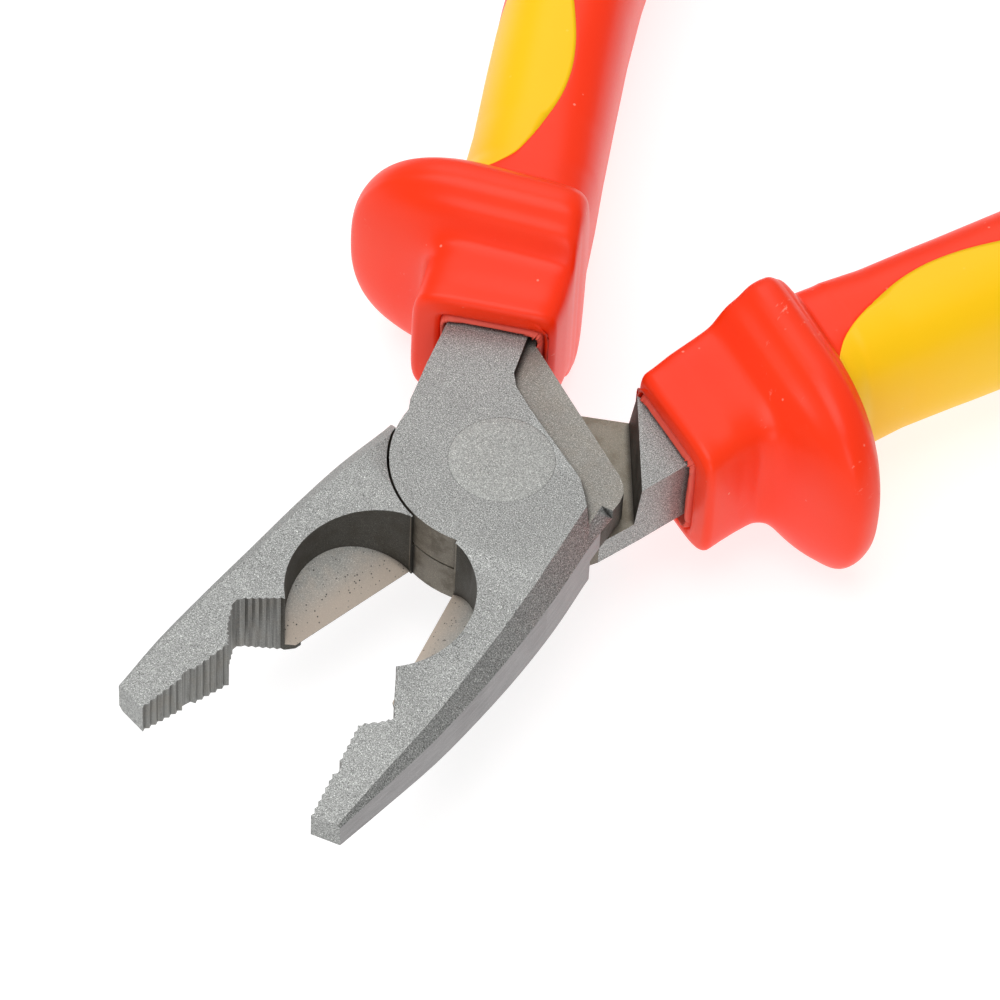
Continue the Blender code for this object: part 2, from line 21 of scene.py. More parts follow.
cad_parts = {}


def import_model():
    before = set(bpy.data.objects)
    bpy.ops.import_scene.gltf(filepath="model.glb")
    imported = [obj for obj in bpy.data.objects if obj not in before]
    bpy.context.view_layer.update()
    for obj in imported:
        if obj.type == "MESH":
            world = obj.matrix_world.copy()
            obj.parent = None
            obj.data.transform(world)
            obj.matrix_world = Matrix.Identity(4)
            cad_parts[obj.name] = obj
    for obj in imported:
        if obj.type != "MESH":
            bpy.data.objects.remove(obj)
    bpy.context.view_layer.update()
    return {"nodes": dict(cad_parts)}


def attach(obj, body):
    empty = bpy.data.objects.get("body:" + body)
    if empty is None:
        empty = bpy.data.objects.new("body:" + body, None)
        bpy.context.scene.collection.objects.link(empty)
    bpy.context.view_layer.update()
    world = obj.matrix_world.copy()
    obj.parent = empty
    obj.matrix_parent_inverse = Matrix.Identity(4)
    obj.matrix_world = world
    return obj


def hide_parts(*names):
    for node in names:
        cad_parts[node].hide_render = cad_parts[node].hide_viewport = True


LOG = logging.getLogger("pliers")
MM = 0.001
# half of the head's thickness, and how far the jaws stand open at rest
HALF_HEAD = 5.4
OPENING = math.radians(25.8)
# mesh points closer than this are one point, in metres
MERGE = 2e-6

Array = np.ndarray
Colour = tuple[float, float, float]
Pairs = tuple[tuple[float, float], ...]
Rows = tuple[tuple[float, ...], ...]


class Side(Enum):
    """The two halves, named by where their handles lie."""

    LEFT = ("left", "upper_body", 1.0)
    RIGHT = ("right", "lower_body", -1.0)

    @property
    def label(self) -> str:
        """The word that starts this side's node names."""
        return self.value[0]

    @property
    def body(self) -> str:
        """The CAD body that this half belongs to."""
        return self.value[1]

    @property
    def turn(self) -> float:
        """1 for the upper half, -1 for the half that is turned over."""
        return self.value[2]

    def place(self, points: Array) -> Array:
        """Carries layout points into the world: turned over if need be, opened, lifted.

        Args:
            points: an array whose last axis is x, y, z in millimetres.

        Returns:
            The same points in world metres.
        """
        x = points[..., 0] * self.turn
        y = points[..., 1]
        z = points[..., 2] * self.turn
        angle = self.turn * OPENING / 2
        turned = np.stack(
            [
                x * math.cos(angle) - y * math.sin(angle),
                x * math.sin(angle) + y * math.cos(angle),
                z + HALF_HEAD,
            ],
            axis=-1,
        )
        return turned * MM

    def unplace(self, points: Array) -> Array:
        """The reverse of place().

        Args:
            points: an array of world points in metres.

        Returns:
            The points in the half's own layout, in millimetres.
        """
        x, y, z = (points[..., i] / MM for i in range(3))
        angle = -self.turn * OPENING / 2
        return np.stack(
            [
                (x * math.cos(angle) - y * math.sin(angle)) * self.turn,
                x * math.sin(angle) + y * math.cos(angle),
                (z - HALF_HEAD) * self.turn,
            ],
            axis=-1,
        )


# ---------------------------------------------------------------- shader nodes


class Wire:
    """A shader number. Python arithmetic on it adds the Math nodes."""

    def __init__(self, kit: "NodeKit", socket: Any) -> None:
        self.kit = kit
        self.socket = socket

    def _math(self, operation: str, *values: Any) -> "Wire":
        """One Math node on the given values."""
        node = self.kit.add("ShaderNodeMath", {"operation": operation}, dict(enumerate(values)))
        return Wire(self.kit, node.outputs[0])

    def __add__(self, other: Any) -> "Wire":
        """self + other."""
        return self._math("ADD", self, other)

    __radd__ = __add__

    def __sub__(self, other: Any) -> "Wire":
        """self - other."""
        return self._math("SUBTRACT", self, other)

    def __rsub__(self, other: Any) -> "Wire":
        """other - self."""
        return self._math("SUBTRACT", other, self)

    def __mul__(self, other: Any) -> "Wire":
        """self * other."""
        return self._math("MULTIPLY", self, other)

    __rmul__ = __mul__

    def step(self, low: float, high: float) -> "Wire":
        """A smooth rise from 0 at low to 1 at high."""
        node = self.kit.add(
            "ShaderNodeMapRange",
            {"interpolation_type": "SMOOTHSTEP"},
            {"Value": self, "From Min": low, "From Max": high},
        )
        return Wire(self.kit, node.outputs[0])


class NodeKit:
    """One material's nodes, around its Principled shader."""

    def __init__(self, name: str) -> None:
        """Starts a material of that name."""
        self.material = bpy.data.materials.new(name)
        self.material.use_nodes = True
        self.tree = self.material.node_tree
        self.shader = self.tree.nodes["Principled BSDF"]
        self._coords: Any = None

    def add(self, kind: str, settings: dict[str, Any], values: dict[Any, Any]) -> Any:
        """Adds a node.

        Args:
            kind: the node's type.
            settings: attributes of the node, set first.
            values: its input sockets, by name or number, as numbers, sockets or Wires.

        Returns:
            The node.
        """
        node = self.tree.nodes.new(kind)
        for key, value in settings.items():
            setattr(node, key, value)
        for key, value in values.items():
            self.feed(node.inputs[key], value)
        return node

    def feed(self, socket: Any, value: Any) -> None:
        """Links a Wire or socket into a socket, or sets its value.

        Args:
            socket: the input to feed.
            value: a Wire, an output socket or a plain value.
        """
        if isinstance(value, Wire):
            self.tree.links.new(value.socket, socket)
        elif isinstance(value, bpy.types.NodeSocket):
            self.tree.links.new(value, socket)
        else:
            socket.default_value = value

    @property
    def coords(self) -> Any:
        """Object coordinates, in metres."""
        if self._coords is None:
            self._coords = self.add("ShaderNodeTexCoord", {}, {}).outputs["Object"]
        return self._coords

    def stretched(self, scale: tuple[float, float, float]) -> Any:
        """Object coordinates scaled unevenly."""
        node = self.add("ShaderNodeMapping", {}, {"Vector": self.coords, "Scale": scale})
        return node.outputs["Vector"]

    def noise(self, scale: float, detail: float = 2.0, rough: float = 0.5, vector: Any = None) -> Wire:
        """Noise from 0 to 1.

        Args:
            scale: how many cells it has per metre.
            detail: how many finer layers it has.
            rough: how strong those layers are.
            vector: the coordinates it reads, or None for the object's own.

        Returns:
            The noise.
        """
        where = self.coords if vector is None else vector
        values = {"Vector": where, "Scale": scale, "Detail": detail, "Roughness": rough}
        return Wire(self, self.add("ShaderNodeTexNoise", {}, values).outputs["Fac"])

    def cells(self, scale: float) -> Wire:
        """The distance to the nearest of that many points per metre."""
        node = self.add("ShaderNodeTexVoronoi", {}, {"Vector": self.coords, "Scale": scale})
        return Wire(self, node.outputs["Distance"])

    def hollow(self, reach_mm: float) -> Wire:
        """How closed in a spot is by its own piece.

        Args:
            reach_mm: how far away a surface still counts.

        Returns:
            0 in the open, 1 in a corner.
        """
        settings = {"samples": 8, "only_local": True}
        node = self.add("ShaderNodeAmbientOcclusion", settings, {"Distance": reach_mm * MM})
        return 1.0 - Wire(self, node.outputs["AO"])

    def split(self) -> tuple[Wire, Wire, Wire]:
        """Object coordinates as three numbers."""
        node = self.add("ShaderNodeSeparateXYZ", {}, {"Vector": self.coords})
        return tuple(Wire(self, node.outputs[i]) for i in range(3))

    def mix(self, factor: Any, first: Any, second: Any, blend: str = "MIX") -> Any:
        """A colour between two others, or their product.

        Args:
            factor: how much of the second.
            first: a colour, a number or a link.
            second: the same.
            blend: the Mix node's blend type.

        Returns:
            The colour socket.
        """
        node = self.add("ShaderNodeMix", {"data_type": "RGBA", "blend_type": blend}, {})
        self.feed(node.inputs["Factor"], factor)
        for socket, value in ((node.inputs[6], first), (node.inputs[7], second)):
            self.feed(socket, (*value, 1.0) if isinstance(value, tuple) else value)
        return node.outputs[2]

    def bump(self, height: Any, strength: float, depth_mm: float) -> None:
        """Feeds the shader's Normal from a height.

        Args:
            height: the height, from 0 to 1.
            strength: how much of it is used.
            depth_mm: how far a height of 1 stands out.
        """
        values = {"Strength": strength, "Distance": depth_mm * MM, "Height": height}
        node = self.add("ShaderNodeBump", {}, values)
        self.tree.links.new(node.outputs[0], self.shader.inputs["Normal"])

    def set(self, **values: Any) -> None:
        """Sets or links the shader's sockets.

        Args:
            values: a value for each socket, with _ for a space in its name.
        """
        for name, value in values.items():
            socket = self.shader.inputs[name.replace("_", " ")]
            self.feed(socket, (*value, 1.0) if isinstance(value, tuple) and len(value) == 3 else value)


def linear(red: float, green: float, blue: float) -> Colour:
    """A display colour, 0 to 255, as linear light."""
    return tuple(
        (c / 255 / 12.92) if c <= 10 else ((c / 255 + 0.055) / 1.055) ** 2.4 for c in (red, green, blue)
    )


@dataclass(frozen=True)
class SteelFinish:
    """Forged steel: blasted, ground, toothed or stained, or made darker as painted shade, by its numbers.

    Scales are in cells per metre. The speckle, pits, stained, flecks, streak, corner shade and warm_low
    numbers say how strong each thing is, and 0 leaves it out. The speckle sets both the grain and the
    painted glints, and the corner shade is painted shade that darkens the piece's own corners and hollows.
    """

    name: str
    tone: Colour
    roughness: float = 0.5
    metallic: float = 0.8
    # how strong the grain is, and the painted glints with it
    speckle_and_glints: float = 0.5
    pits: float = 0.5
    stain: Colour = (0.25, 0.2, 0.14)
    stained: float = 0.0
    flecks: float = 0.0
    fleck_tone: Colour = (0.03, 0.028, 0.025)
    scratch: tuple[float, float, float] | None = None
    streak: float = 0.55
    # painted shade in the piece's own corners and hollows: its strength, its reach in millimetres and its
    # dark tone
    corner_shade: float = 0.85
    corner_shade_reach: float = 1.3
    corner_shade_tone: Colour = (0.02, 0.018, 0.015)
    warm_low: float = 0.0
    # the heights above the underside between which warm_low fades out, in millimetres
    warm_band: tuple[float, float] = (1.2, 4.2)
    fine_scale: float = 6400.0
    finer_scale: float = 11500.0
    glint_scale: float = 9000.0
    cloud_scale: float = 140.0
    stain_scale: float = 420.0
    fleck_scale: float = 1900.0
    fleck_patch_scale: float = 700.0
    slot: str = "blasted_steel"

    def dress(self) -> bpy.types.Material:
        """Grain on two scales with painted glints, soft patches, painted shade in the piece's own corners,
        and if asked stains, dark flecks and scratches.

        Returns:
            The material.
        """
        kit = NodeKit(self.name)
        fine = kit.noise(self.fine_scale, 2.0, 0.6)
        finer = kit.noise(self.finer_scale, 1.0)
        broad = kit.noise(self.cloud_scale, 3.0)
        # painted glints: sharp bright points of painted highlight, added to the grain's colour
        glints = kit.noise(self.glint_scale, 0.0).step(0.62, 0.78) * (0.75 * self.speckle_and_glints)
        grain_and_glints = (fine - 0.5) * (1.5 * self.speckle_and_glints) + (finer - 0.5) * self.speckle_and_glints + glints
        tone = grain_and_glints + 1.0 + (broad - 0.5) * 0.22
        height = fine * 0.65 + finer * 0.35
        if self.scratch is not None:
            lines = kit.noise(1.0, 2.0, 0.6, kit.stretched(self.scratch))
            tone = tone + (lines - 0.5) * self.streak
            height = height * 0.4 + lines * 0.6
        colour = kit.mix(1.0, self.tone, tone.socket, "MULTIPLY")
        if self.stained:
            patch = kit.noise(self.stain_scale, 4.0, 0.65).step(0.42, 0.66) * self.stained
            colour = kit.mix(patch.socket, colour, self.stain)
        if self.warm_low:
            height_mm = kit.split()[2] * (1 / MM)
            low = (1.0 - height_mm.step(*self.warm_band)) * self.warm_low
            colour = kit.mix(low.socket, colour, self.stain)
        if self.flecks:
            dots = 1.0 - kit.cells(self.fleck_scale).step(0.10, 0.24)
            where = kit.noise(self.fleck_patch_scale, 2.0).step(0.44, 0.60)
            colour = kit.mix((dots * where * self.flecks).socket, colour, self.fleck_tone)
        # painted shade: the colour darkens where the piece closes in on itself, in its corners and hollows,
        # where shade falls
        corner_shade = kit.hollow(self.corner_shade_reach).step(0.08, 0.46) * self.corner_shade
        colour = kit.mix(corner_shade.socket, colour, self.corner_shade_tone)
        kit.set(Base_Color=colour, Metallic=self.metallic)
        kit.set(Roughness=(fine - 0.5) * 0.25 + self.roughness)
        kit.bump(height, self.pits, 0.05)
        return kit.material


@dataclass(frozen=True)
class PlasticFinish:
    """Moulded insulation: satin, with faint cloudiness and small scuffs.

    Scales are in cells per metre. shade is the tone it sinks to in its own hollows.
    """

    name: str
    tone: Colour
    deep: Colour
    scuff: Colour
    slot: str
    roughness: float = 0.36
    scuffed: float = 0.5
    shade: Colour = (0.35, 0.004, 0.002)
    shade_reach: float = 2.2
    gloss: float = 0.3
    cloud_scale: float = 70.0
    skin_scale: float = 2600.0
    mark_scale: tuple[float, float, float] = (900.0, 260.0, 900.0)
    mark_patch_scale: float = 95.0
    nick_scale: float = 420.0
    nick_patch_scale: float = 180.0

    def dress(self) -> bpy.types.Material:
        """Two close tones in soft clouds, pale scuffs in places, a fine moulded skin, and painted shade in
        its own hollows.

        Returns:
            The material.
        """
        kit = NodeKit(self.name)
        cloud = kit.noise(self.cloud_scale, 3.0)
        skin = kit.noise(self.skin_scale, 3.0, 0.6)
        marks = kit.noise(1.0, 4.0, 0.7, kit.stretched(self.mark_scale)).step(0.63, 0.74)
        where = kit.noise(self.mark_patch_scale, 2.0).step(0.53, 0.68)
        nicked = kit.noise(self.nick_patch_scale, 2.0).step(0.54, 0.6)
        nicks = (1.0 - kit.cells(self.nick_scale).step(0.05, 0.09)) * nicked
        scuffs = marks * where * self.scuffed + nicks * self.scuffed
        colour = kit.mix((cloud * 0.8).socket, self.tone, self.deep)
        colour = kit.mix(scuffs.socket, colour, self.scuff)
        # painted shade: the colour sinks towards the shade tone in the piece's own hollows and corners
        sunk = kit.hollow(self.shade_reach).step(0.2, 0.9) * 0.6
        colour = kit.mix(sunk.socket, colour, self.shade)
        kit.set(Base_Color=colour, Roughness=(skin - 0.5) * 0.12 + scuffs * 0.2 + self.roughness)
        kit.set(Specular_IOR_Level=self.gloss)
        kit.bump(skin * 0.5 + scuffs, 0.18, 0.06)
        return kit.material


BLASTED = SteelFinish("blasted_steel", linear(148, 149, 147), speckle_and_glints=1.8, pits=0.7)
GROUND = SteelFinish(
    "ground_steel", linear(138, 136, 136), 0.42, 0.85, 0.35, 0.2, scratch=(300.0, 300.0, 2600.0)
)
TEETH = SteelFinish(
    "toothed_steel", linear(126, 126, 123), 0.5, 0.8, 0.6, 0.5,
    scratch=(3600.0, 3600.0, 70.0), streak=1.5, stained=0.15,
)
# the cutter pocket's walls: a far darker copy of the steel, painted shade for the shadowed pocket, with real
# stains over it
POCKET = SteelFinish(
    "pocket_steel", linear(74, 72, 67), 0.6, 0.7, 1.0, 0.5, stain=linear(60, 54, 44), stained=0.4
)
CUTTER = SteelFinish(
    "cutter_steel", linear(184, 183, 178), 0.55, 0.5, 0.9, 0.5,
    stain=linear(222, 206, 190), stained=0.25, flecks=0.95, warm_low=0.8,
)
LAP = SteelFinish(
    "lap_steel", linear(142, 136, 124), 0.55, 0.7, 0.5, 0.4, stain=linear(112, 101, 82), stained=0.5
)
PANEL = SteelFinish("panel_steel", linear(146, 144, 138), 0.52, 0.8, 1.2, 0.6, stained=0.15)
SHADED = SteelFinish(
    "shaded_steel", linear(84, 81, 75), 0.6, 0.7, 0.9, 0.6, stain=linear(44, 40, 34), stained=0.6
)
RIM = SteelFinish(
    "rim_steel", linear(118, 112, 102), 0.55, 0.7, 0.6, 0.5, stain=linear(76, 68, 56), stained=0.6
)
# the rivet takes only a little of the painted corner shade
RIVET = SteelFinish(
    "rivet_steel", linear(157, 158, 155), 0.5, 0.8, 1.2, 0.6, corner_shade=0.3, slot="rivet_steel"
)
RED = PlasticFinish(
    "red_insulation", linear(255, 60, 12), linear(252, 42, 6), linear(255, 160, 140), "red_insulation",
    scuffed=0.65,
)
YELLOW = PlasticFinish(
    "yellow_inlay", linear(255, 206, 0), linear(255, 196, 0), linear(255, 228, 110), "yellow_inlay",
    # roughness, scuffs, and the orange tone of its painted shade in hollows
    0.42, 0.25, (0.6, 0.2, 0.0),
)
LINING = PlasticFinish(
    "inner_lining", linear(236, 104, 86), linear(206, 48, 34), linear(250, 200, 190), "inner_lining",
    0.5, 1.0,
)


# ---------------------------------------------------------------- mesh helpers


def object_of(name: str, points: Array, faces: list[list[int]]) -> bpy.types.Object:
    """A smooth mesh object at the origin.

    Args:
        name: the object's name.
        points: world points in metres, one row each.
        faces: point numbers of each face.

    Returns:
        The object, linked to the scene.
    """
    mesh = bpy.data.meshes.new(name)
    mesh.from_pydata(points.reshape(-1, 3).tolist(), [], faces)
    mesh.polygons.foreach_set("use_smooth", np.ones(len(mesh.polygons), bool))
    mesh.update()
    made = bpy.data.objects.new(name, mesh)
    bpy.context.scene.collection.objects.link(made)
    return made


def outward(piece: bpy.types.Object) -> None:
    """Points the faces of a closed mesh outwards.

    Args:
        piece: the mesh object.
    """
    work = bmesh.new()
    work.from_mesh(piece.data)
    bmesh.ops.recalc_face_normals(work, faces=work.faces)
    work.to_mesh(piece.data)
    work.free()


def grid_faces(rows: int, columns: int, wrap: bool, start: int = 0) -> Array:
    """The quads between neighbouring rows and columns of a grid.

    Args:
        rows: how many rows.
        columns: how many points in a row.
        wrap: whether the last column joins the first.
        start: the number of the grid's first point.

    Returns:
        One row of four point numbers for each quad.
    """
    i = np.arange(rows - 1)[:, None] * columns
    j = np.arange(columns if wrap else columns - 1)[None, :]
    k = (j + 1) % columns
    quads = np.stack([i + j, i + k, i + columns + k, i + columns + j], axis=-1)
    return quads.reshape(-1, 4) + start


def fan_faces(ring: int, columns: int, pole: int) -> list[list[int]]:
    """The triangles that join a ring to one point.

    Args:
        ring: the number of the ring's first point.
        columns: how many points it has.
        pole: the number of the point in its middle.

    Returns:
        Three point numbers for each triangle.
    """
    i = np.arange(columns)
    return np.stack([ring + i, ring + (i + 1) % columns, np.full(columns, pole)], axis=-1).tolist()


def normals_of(grid: Array) -> Array:
    """Unit normals of a tube's grid of points: the cross product of its two slopes.

    Args:
        grid: points by row and column, the last column beside the first.

    Returns:
        A grid of unit vectors that point out of the tube.
    """
    along = np.gradient(grid, axis=0)
    across = np.roll(grid, -1, 1) - np.roll(grid, 1, 1)
    normal = np.cross(across, along)
    return normal / np.maximum(np.linalg.norm(normal, axis=-1, keepdims=True), 1e-9)


def ease(value: Array, low: float, high: float) -> Array:
    """A smooth rise from 0 at low to 1 at high."""
    t = np.clip((value - low) / (high - low), 0, 1)
    return t * t * (3 - 2 * t)


def curve_at(table: Pairs, where: Array) -> Array:
    """A smooth line through a table: a cubic from point to point, at the slope of its neighbours.

    Args:
        table: pairs of place and value, in order of place.
        where: the places to read it at, held to the table's ends.

    Returns:
        The value at each place.
    """
    place, value = np.array(table).T
    slope = np.gradient(value, place)
    i = np.clip(np.searchsorted(place, where, side="right") - 1, 0, len(place) - 2)
    span = place[i + 1] - place[i]
    t = np.clip((where - place[i]) / span, 0, 1)
    ends = (2 * t**3 - 3 * t**2 + 1) * value[i] + (3 * t**2 - 2 * t**3) * value[i + 1]
    return ends + ((t**3 - 2 * t**2 + t) * slope[i] + (t**3 - t**2) * slope[i + 1]) * span


def give(piece: bpy.types.Object, side: Side, finish: Any, node: str) -> None:
    """Dresses a piece, puts it on its half's body and hides the solid it stands for.

    Args:
        piece: the piece, which keeps any materials that it has.
        side: the half it belongs to.
        finish: its finish.
        node: the CAD node it replaces.
    """
    if not piece.data.materials:
        piece.data.materials.append(MATERIALS.get(finish))
    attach(piece, side.body)
    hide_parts(node)
    LOG.info("%s: %d faces", piece.name, len(piece.data.polygons))


class MaterialShelf:
    """Makes each finish's material once."""

    def __init__(self) -> None:
        """Starts empty."""
        self.made: dict[str, bpy.types.Material] = {}

    def get(self, finish: Any) -> bpy.types.Material:
        """The material of a finish."""
        if finish.name not in self.made:
            self.made[finish.name] = finish.dress()
        return self.made[finish.name]


MATERIALS = MaterialShelf()


# ---------------------------------------------------------------- the handles


@dataclass
class Grip:
    """One handle's insulation: sleeve with collar and guard, two inlays and the lining.

    A section is a superellipse: across = w |cos|^(2/n), up = h |sin|^(2/n), with one n on
    the inner and one on the outer side. Its numbers run along the handle in `stations`.

    The grid: columns is how many points a ring has. softness blurs the stations, lip_radius
    rounds the front edge, and the dome runs from dome_start to end. recess is how deep the
    sleeve makes room for the inlays, proud how far their skins stand off, and skin how thick
    they are.
    """

    side: Side
    # y, inner side, outer side, half height, n inside, n outside, lean
    stations: Rows = (
        (17.3, 1.7, 18.3, 8.8, 8, 5.4, -0.20),
        (19.5, 1.7, 18.3, 8.9, 8, 5.4, -0.20),
        (22, 1.8, 18.4, 9.4, 8, 5.2, -0.18),
        (24.4, 2.1, 18.7, 9.7, 9, 4.8, -0.15),
        (25.7, 2.3, 20.2, 10, 10, 4, -0.13),
        (26.4, 2.5, 22.6, 10.8, 11, 3.4, -0.12),
        (27.1, 2.7, 25.6, 12.7, 12, 2.8, -0.12),
        (27.7, 2.8, 27.9, 13.3, 12, 2.7, -0.12),
        (28.4, 2.9, 29.8, 13.6, 12, 2.6, -0.12),
        (29.3, 3.2, 31.4, 14.7, 12, 2.5, -0.12),
        (30.3, 3.3, 32, 15.1, 12, 2.4, -0.12),
        (31.4, 3.5, 32.2, 15.1, 12, 2.4, -0.12),
        (33, 3.9, 32, 14.8, 12, 2.4, -0.12),
        (34.8, 4.4, 29.8, 13.4, 9, 2.4, -0.12),
        (35.9, 4.7, 26.2, 11.6, 6, 2.5, -0.13),
        (37, 5.1, 23.2, 10.3, 4.4, 2.5, -0.15),
        (41, 6.2, 22.5, 9.8, 3.6, 2.5, -0.20),
        (48, 8.2, 23.9, 9.8, 3.2, 2.4, -0.25),
        (58, 10.8, 26.5, 10.3, 3, 2.4, -0.26),
        (68, 13.3, 29, 10.7, 3, 2.4, -0.24),
        (78, 15.4, 31.2, 10.9, 3, 2.4, -0.20),
        (89, 17.1, 33.1, 10.9, 3, 2.4, -0.12),
        (101, 17.9, 34, 10.7, 3, 2.4, -0.04),
        (113, 17.9, 34.1, 10.4, 3, 2.4, 0.03),
        (125, 17.1, 33.5, 10.2, 3, 2.4, 0.08),
        (136, 15.7, 32.6, 10.4, 3, 2.4, 0.10),
        (147.7, 14.9, 31.9, 10.4, 2.8, 2.4, 0.10),
    )
    # how each handle differs, by y: shift back, added lean, shift inwards, growth of the outer
    # side and of the half height, and lift
    left_shifts: Rows = (
        (0, 0, 0, 0, 0.2, 0, 0), (17.3, 0, 0, 0, 0.2, 0, 0),
        (22, -0.2, 0, 0, 0.8, 0, 0), (24.4, -0.4, 0, 0, 1, 0, 0),
        (27, -0.8, 0, 0, 0.5, 0, 0), (30, -0.8, 0, 0, -0.4, 0, 0),
        (33, -0.8, 0, 0, -0.5, 0, 0), (36, -0.8, 0, 0, -0.3, 0, 0),
        (42, 0, 0, 0, 0, 0, 0), (160, 0, 0, 0, 0, 0, 0),
    )
    right_shifts: Rows = (
        (0, 0, 0, 0, 0, 0, 0), (19, 0, 0, 0, 0, 0, 0),
        (22, 0.4, 0, 0.25, 0, -0.1, 0.1), (25.5, 1.7, -0.11, 0.75, 0.4, -0.4, 0.4),
        (27.2, 1.75, -0.12, 1, 0.3, -0.7, 0.7), (29, 1.8, -0.12, 1.3, 0.3, -0.9, 0.9),
        (34, 1.9, -0.12, 2, 0.1, -0.9, 0.9), (36, 1.9, -0.12, 2.2, 0, -0.5, 0.5),
        (42, 0.8, -0.06, 3.1, 0, 0, 0), (48, 0, 0, 3.6, 0, 0, 0),
        (55, 0, 0, 4, 0, 0, 0), (72, 0, 0, 4.6, 0, 0, 0),
        (100, 0, 0, 3.2, 0, 0, 0), (130, 0, 0, 1.4, 0, 0, 0),
        (160, 0, 0, 1.2, 0, 0, 0),
    )
    # the front inlay's edge on the two faces: y, x
    front_edge: Pairs = (
        (36, 19), (37, 17.9), (39.5, 16.1), (43, 15.1), (47, 14.6), (51, 14.4), (55, 14.9),
        (59, 16.1), (63, 17.9), (68, 20.6), (74, 23.9), (81, 27.6), (90, 32.4),
    )
    # the red wedge that splits it on the outer side: y, height
    wedge: Pairs = (
        (58.5, 0), (62, 3.2), (66, 6), (71, 8.2), (77, 9.6), (83, 10.6), (95, 11.5),
    )
    # half the height of the rear inlay's leaf: y, height
    leaf: Pairs = (
        (66.5, 0), (68, 2), (70, 3.4), (75, 5.9), (82, 7.6), (92, 8.6), (106, 8.6),
        (118, 7.8), (128, 6), (134, 3.6), (136, 2), (137, 0),
    )
    # where the front inlay begins behind the guard, and where its leaves have run out
    front_start: float = 37.2
    front_end: float = 88.0
    # how far further out than front_edge the left and the right inlay's edges lie
    edge_out: tuple[float, float] = (0.2, 0.75)
    lip_radius: float = 1.15
    dome_start: float = 140.5
    end: float = 147.7
    softness: float = 0.4
    columns: int = 176
    recess: float = 0.6
    proud: float = 0.035
    skin: float = 1.0
    # the shank in the collar's mouth: half its width, its middle at y = 17 and how that
    # drifts out, its slant, and how square its corners are
    shank: float = 5.25
    shank_middle: float = 8.9
    shank_drift: float = 0.03
    shank_slant: float = 0.20
    squareness: float = 0.16
    # the collar's bore: how far it stands off the shank, and its front and its closed end
    bore_gap: float = 0.85
    bore_front: float = 18.6
    bore_end: float = 27.0
    table: dict[str, Array] = field(default_factory=dict)

    def __post_init__(self) -> None:
        """Blurs the stations a little along the handle, so that it has no kinks."""
        step = 0.05
        y = np.arange(self.stations[0][0], self.stations[-1][0] + step, step)
        raw = np.array(self.stations)
        reach = np.arange(-3 * self.softness, 3 * self.softness + step, step)
        kernel = np.exp(-0.5 * (reach / self.softness) ** 2)
        kernel /= kernel.sum()
        pad = len(reach) // 2
        self.table["y"] = y
        names = ("inner", "outer", "height", "n_inner", "n_outer", "lean")
        for column, name in enumerate(names, start=1):
            line = np.pad(np.interp(y, raw[:, 0], raw[:, column]), pad, mode="edge")
            self.table[name] = np.convolve(line, kernel, mode="valid")[: len(y)]
        shifts = np.array(self.left_shifts if self.side is Side.LEFT else self.right_shifts)
        for column, name in enumerate(("back", "tilt", "bend", "growth", "thicker", "lift"), start=1):
            self.table[name] = np.interp(y, shifts[:, 0], shifts[:, column])

    def at(self, name: str, y: Array) -> Array:
        """One of the handle's numbers at a distance along it."""
        return np.interp(y, self.table["y"], self.table[name])

    def bend_at(self, y: Array) -> Array:
        """How far this handle leans in at y."""
        return self.at("bend", y)

    def surface(self, y: Array, angle: Array) -> Array:
        """The outer surface: the section at y, at an angle from the outer side over the top.

        The front edge is rounded by a quarter circle, and the rear end is domed by
        sqrt(1 - t^2).

        Args:
            y: distances along the handle.
            angle: angles round the section, broadcast against y.

        Returns:
            Points by the broadcast shape, in the half's layout.
        """
        y, angle = np.broadcast_arrays(y, angle)
        inner = self.at("inner", y) - self.bend_at(y)
        outer = self.at("outer", y) - self.bend_at(y) + self.at("growth", y)
        depth = np.clip(self.lip_radius - (y - self.table["y"][0]), 0, self.lip_radius)
        inset = self.lip_radius - np.sqrt(self.lip_radius**2 - depth**2)
        t = np.clip((y - self.dome_start) / (self.end - self.dome_start), 0, 1)
        dome = np.sqrt(np.maximum(1 - t**2.2, 0))
        half_width = ((outer - inner) / 2 - inset) * dome
        height = (self.at("height", y) + self.at("thicker", y) - inset) * dome
        cos, sin = np.cos(angle), np.sin(angle)
        power = 2 / np.where(cos > 0, self.at("n_outer", y), self.at("n_inner", y))
        across = half_width * np.sign(cos) * np.abs(cos) ** power
        up = height * np.sign(sin) * np.abs(sin) ** power + self.at("lift", y)
        lean = self.at("lean", y) + self.at("tilt", y)
        out = (inner + outer) / 2 + across
        return np.stack([-out, y + self.at("back", y) + lean * across, up], axis=-1)

    def ring(self, y: float) -> Array:
        """A section's points, evenly spaced round it.

        Args:
            y: the distance along the handle.

        Returns:
            As many points as `columns`.
        """
        angle = np.radians(np.linspace(0, 360, 4 * 360 + 1))
        points = self.surface(np.array(y), angle)
        length = np.concatenate([[0], np.cumsum(np.linalg.norm(np.diff(points, axis=0), axis=1))])
        where = np.linspace(0, length[-1], self.columns + 1)[:-1]
        return self.surface(np.array(y), np.interp(where, length, angle))

    def rows(self) -> Array:
        """The distances along the handle at which the sleeve has a row, closest in the curves.

        Returns:
            The distances, from the front to just before the tip.
        """
        t = np.linspace(0, 1, 12)
        lip = self.table["y"][0] + self.lip_radius * (1 - np.cos(t * np.pi / 2))
        dome = self.dome_start + (self.end - self.dome_start) * np.sin(np.linspace(0, np.pi / 2, 22))
        return np.concatenate([
            lip, np.arange(19.3, 24.0, 0.4), np.arange(24.0, 39.0, 0.2),
            np.arange(39.0, self.dome_start, 0.5), dome[:-1],
        ])

    def reach(self, points: Array) -> Array:
        """How far out a point lies in front_edge's terms: less this side's bend and edge_out."""
        return -points[..., 0] + self.bend_at(points[..., 1]) - self.edge_out[self.side is Side.RIGHT]

